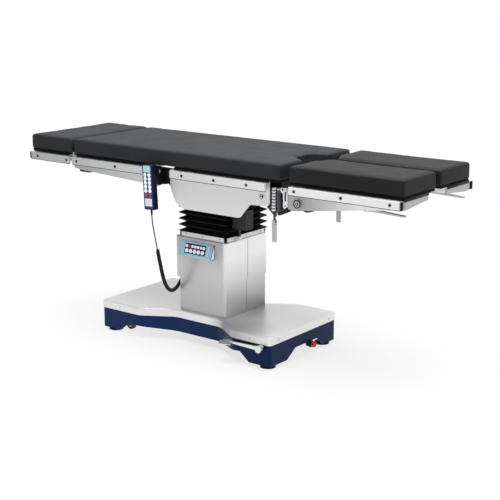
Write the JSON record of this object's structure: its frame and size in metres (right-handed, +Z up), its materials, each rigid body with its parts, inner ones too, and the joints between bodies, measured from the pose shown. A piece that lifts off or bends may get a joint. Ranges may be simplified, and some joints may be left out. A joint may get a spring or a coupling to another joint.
{
  "type": "operating table",
  "caption": "Mobile operating table on a telescopic column, with hinged head, back and split leg sections, side rails, waisted base and a corded handset.",
  "frame": {"origin": "on the floor below the middle of the tabletop, on the middle plane", "axes": "+X along the tabletop to the foot end, +Z up, -Y to the side with the handset and pedal"},
  "size_m": [2.05, 0.6035, 0.895],
  "materials": {
    "pad": "matte charcoal cover over foam",
    "board": "black laminate",
    "stainless": "brushed stainless",
    "bright": "polished",
    "frame_paint": "grey enamel",
    "dark_paint": "black enamel",
    "skirt": "navy moulding",
    "housing": "dark grey moulding",
    "bellows": "black pleated rubber",
    "keys": "light blue key face",
    "cord": "black",
    "tyre": "grey rubber",
    "red": "red",
    "steel": "plain steel"
  },
  "bodies": {
    "base": {"base_chassis": "steel", "base_skirt": "skirt", "base_cover": "stainless", "lower_casing": "stainless", "column_pillar": "steel"},
    "floor_pads": {"floor_pads": "tyre"},
    "brake_pedal": {"brake_pedal": "bright"},
    "stop_button": {"stop_button": "red"},
    "castor_near_head": {"castor_fork_near_head": "bright"},
    "wheel_near_head": {"castor_wheel_near_head": "tyre"},
    "castor_far_head": {"castor_fork_far_head": "bright"},
    "wheel_far_head": {"castor_wheel_far_head": "tyre"},
    "castor_near_leg": {"castor_fork_near_leg": "bright"},
    "wheel_near_leg": {"castor_wheel_near_leg": "tyre"},
    "castor_far_leg": {"castor_fork_far_leg": "bright"},
    "wheel_far_leg": {"castor_wheel_far_leg": "tyre"},
    "shroud": {"middle_shroud": "stainless"},
    "lift": {"mast": "steel", "lift_head": "steel", "upper_sleeve": "stainless", "collar_strips": "stainless", "lift_ram": "bright", "control_panel": "keys", "actuator_housing": "housing", "bellows": "bellows"},
    "yoke": {"tilt_cross": "steel"},
    "seat": {"seat_frame": "frame_paint", "seat_side_plates": "stainless", "seat_rails": "stainless", "seat_board": "board", "seat_pad": "pad", "hinge_gearboxes": "housing", "pad_fold": "pad"},
    "back": {"back_frame": "frame_paint", "back_rails": "stainless", "back_board": "board", "back_pad": "pad", "handset": "housing", "cord_lead": "cord", "cord_curl": "cord", "cord_tail": "cord"},
    "head": {"head_frame": "frame_paint", "head_rails": "stainless", "head_board": "board", "head_pad": "pad", "head_pad_end": "pad"},
    "near_knuckle": {"near_leg_knuckle": "bright"},
    "near_catch": {"near_leg_catch": "bright"},
    "near_leg": {"near_leg_frame": "frame_paint", "near_leg_rail": "stainless", "near_leg_board": "board", "near_leg_pad": "pad"},
    "near_release": {"near_leg_release": "bright"},
    "far_knuckle": {"far_leg_knuckle": "bright"},
    "far_catch": {"far_leg_catch": "bright"},
    "far_leg": {"far_leg_frame": "frame_paint", "far_leg_rail": "stainless", "far_leg_board": "board", "far_leg_pad": "pad"},
    "far_release": {"far_leg_release": "bright"}
  },
  "joints": [
    {"name": "lift", "type": "slide", "parent": "base", "child": "lift", "axis": [0, 0, 1], "range_m": [-0.13, 0.12]},
    {"name": "shroud_lift", "type": "slide", "parent": "base", "child": "shroud", "axis": [0, 0, 1], "range_m": [-0.0435, 0.0405]},
    {"name": "trendelenburg", "type": "hinge", "parent": "lift", "child": "yoke", "pos_m": [-0.064, 0, 0.668], "axis": [0, -1, 0], "range_deg": [-25, 25], "deforming": ["bellows"]},
    {"name": "lateral_tilt", "type": "hinge", "parent": "yoke", "child": "seat", "pos_m": [-0.064, 0, 0.735], "axis": [1, 0, 0], "range_deg": [-20, 20]},
    {"name": "back_section", "type": "hinge", "parent": "seat", "child": "back", "pos_m": [-0.17, 0, 0.79], "axis": [0, 1, 0], "range_deg": [-40, 75], "deforming": ["pad_fold", "cord_lead", "cord_curl", "cord_tail"]},
    {"name": "head_section", "type": "hinge", "parent": "back", "child": "head", "pos_m": [-0.739, 0, 0.768], "axis": [0, 1, 0], "range_deg": [-90, 20], "deforming": ["head_pad_end"]},
    {"name": "near_leg_pitch", "type": "hinge", "parent": "seat", "child": "near_knuckle", "pos_m": [0.401, -0.24, 0.76], "axis": [0, 1, 0], "range_deg": [-15, 90]},
    {"name": "near_leg_spread", "type": "hinge", "parent": "near_knuckle", "child": "near_leg", "pos_m": [0.427, -0.24, 0.74], "axis": [0, 0, 1], "range_deg": [-90, 0]},
    {"name": "near_leg_release", "type": "hinge", "parent": "near_leg", "child": "near_release", "pos_m": [0.846, -0.238, 0.756], "axis": [0, -1, 0], "range_deg": [0, 10], "stiffness_Nm_per_rad": 3, "springref_deg": -6.88},
    {"name": "near_catch_swing", "type": "hinge", "parent": "near_knuckle", "child": "near_catch", "pos_m": [0.401, -0.24, 0.652], "axis": [0, 1, 0], "range_deg": [-30, 30]},
    {"name": "far_leg_pitch", "type": "hinge", "parent": "seat", "child": "far_knuckle", "pos_m": [0.401, 0.24, 0.76], "axis": [0, 1, 0], "range_deg": [-15, 90]},
    {"name": "far_leg_spread", "type": "hinge", "parent": "far_knuckle", "child": "far_leg", "pos_m": [0.427, 0.24, 0.74], "axis": [0, 0, -1], "range_deg": [-90, 0]},
    {"name": "far_leg_release", "type": "hinge", "parent": "far_leg", "child": "far_release", "pos_m": [0.846, 0.238, 0.756], "axis": [0, -1, 0], "range_deg": [0, 10], "stiffness_Nm_per_rad": 3, "springref_deg": -6.88},
    {"name": "far_catch_swing", "type": "hinge", "parent": "far_knuckle", "child": "far_catch", "pos_m": [0.401, 0.24, 0.652], "axis": [0, 1, 0], "range_deg": [-30, 30]},
    {"name": "pedal", "type": "hinge", "parent": "base", "child": "brake_pedal", "pos_m": [0.346, -0.263, 0.096], "axis": [0, -1, 0], "range_deg": [0, 12]},
    {"name": "floor_pad_lift", "type": "slide", "parent": "base", "child": "floor_pads", "axis": [0, 0, 1], "range_m": [0, 0.006]},
    {"name": "stop_press", "type": "slide", "parent": "base", "child": "stop_button", "axis": [-1, 0, 0], "range_m": [0, 0.005], "stiffness_N_per_m": 600, "springref_m": -0.004},
    {"name": "castor_swivel_near_head", "type": "hinge", "parent": "base", "child": "castor_near_head", "pos_m": [-0.47, -0.168, 0.056], "axis": [0, 0, 1], "continuous": true},
    {"name": "castor_roll_near_head", "type": "hinge", "parent": "castor_near_head", "child": "wheel_near_head", "pos_m": [-0.488, -0.168, 0.025], "axis": [0, 1, 0], "continuous": true},
    {"name": "castor_swivel_far_head", "type": "hinge", "parent": "base", "child": "castor_far_head", "pos_m": [-0.47, 0.168, 0.056], "axis": [0, 0, 1], "continuous": true},
    {"name": "castor_roll_far_head", "type": "hinge", "parent": "castor_far_head", "child": "wheel_far_head", "pos_m": [-0.488, 0.168, 0.025], "axis": [0, 1, 0], "continuous": true},
    {"name": "castor_swivel_near_leg", "type": "hinge", "parent": "base", "child": "castor_near_leg", "pos_m": [0.255, -0.168, 0.056], "axis": [0, 0, 1], "continuous": true},
    {"name": "castor_roll_near_leg", "type": "hinge", "parent": "castor_near_leg", "child": "wheel_near_leg", "pos_m": [0.237, -0.168, 0.025], "axis": [0, 1, 0], "continuous": true},
    {"name": "castor_swivel_far_leg", "type": "hinge", "parent": "base", "child": "castor_far_leg", "pos_m": [0.255, 0.168, 0.056], "axis": [0, 0, 1], "continuous": true},
    {"name": "castor_roll_far_leg", "type": "hinge", "parent": "castor_far_leg", "child": "wheel_far_leg", "pos_m": [0.237, 0.168, 0.025], "axis": [0, 1, 0], "continuous": true}
  ],
  "couplings": [
    {"joint": "shroud_lift", "follows": "lift", "ratio": 0.33333},
    {"joint": "floor_pad_lift", "follows": "pedal", "m_per_rad": 0.0286}
  ]
}
